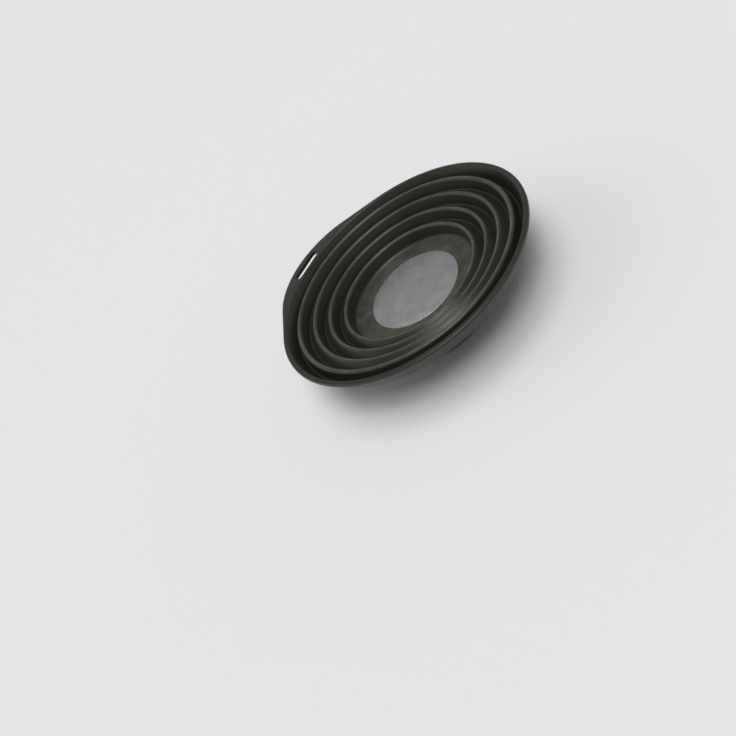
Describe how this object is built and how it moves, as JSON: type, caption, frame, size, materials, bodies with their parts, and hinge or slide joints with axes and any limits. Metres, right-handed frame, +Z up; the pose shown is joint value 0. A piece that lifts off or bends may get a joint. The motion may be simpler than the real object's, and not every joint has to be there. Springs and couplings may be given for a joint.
{
  "type": "collapsible magnetic parts tray",
  "caption": "Round folding bowl of dark silicone on a magnet base, with a silver label in its floor and a slotted hanging tab on its rim.",
  "frame": {"origin": "centre of the foot pad's bottom face, on the surface that the tray stands on or clings to", "axes": "+Z up through the bowl, -X towards the hanging tab, +Y completes the right hand"},
  "size_m": [0.255, 0.24, 0.06],
  "materials": {
    "silicone": "satin",
    "silicone_web": "satin",
    "label_foil": "satin",
    "plate_steel": "satin",
    "zinc_steel": "satin",
    "grey_plastic": "matte",
    "ferrite": "matte",
    "black_plastic": "satin",
    "pad_rubber": "matte"
  },
  "bodies": {
    "base": {"foot_pad": "pad_rubber", "base_cup": "black_plastic", "magnet_ring": "ferrite", "pole_plate": "plate_steel", "retainer": "grey_plastic", "floor_plate": "plate_steel", "centre_stud": "zinc_steel", "washer": "zinc_steel", "lock_nut": "zinc_steel", "bowl_floor": "silicone", "clamp_plate": "plate_steel", "label_disc": "label_foil", "inner_wall": "silicone"},
    "ring_3": {"wall_ring_3": "silicone", "fold_web_4": "silicone_web"},
    "ring_2": {"wall_ring_2": "silicone", "fold_web_3": "silicone_web"},
    "ring_1": {"wall_ring_1": "silicone", "fold_web_2": "silicone_web"},
    "rim_ring": {"rim": "silicone", "fold_web_1": "silicone_web"}
  },
  "joints": [
    {"name": "fold_4", "type": "slide", "parent": "base", "child": "ring_3", "axis": [0, 0, 1], "range_m": [0, 0.011], "deforming": ["fold_web_4"]},
    {"name": "fold_3", "type": "slide", "parent": "ring_3", "child": "ring_2", "axis": [0, 0, 1], "range_m": [0, 0.011], "deforming": ["fold_web_3"]},
    {"name": "fold_2", "type": "slide", "parent": "ring_2", "child": "ring_1", "axis": [0, 0, 1], "range_m": [0, 0.011], "deforming": ["fold_web_2"]},
    {"name": "fold_1", "type": "slide", "parent": "ring_1", "child": "rim_ring", "axis": [0, 0, 1], "range_m": [0, 0.022], "deforming": ["fold_web_1"]}
  ]
}
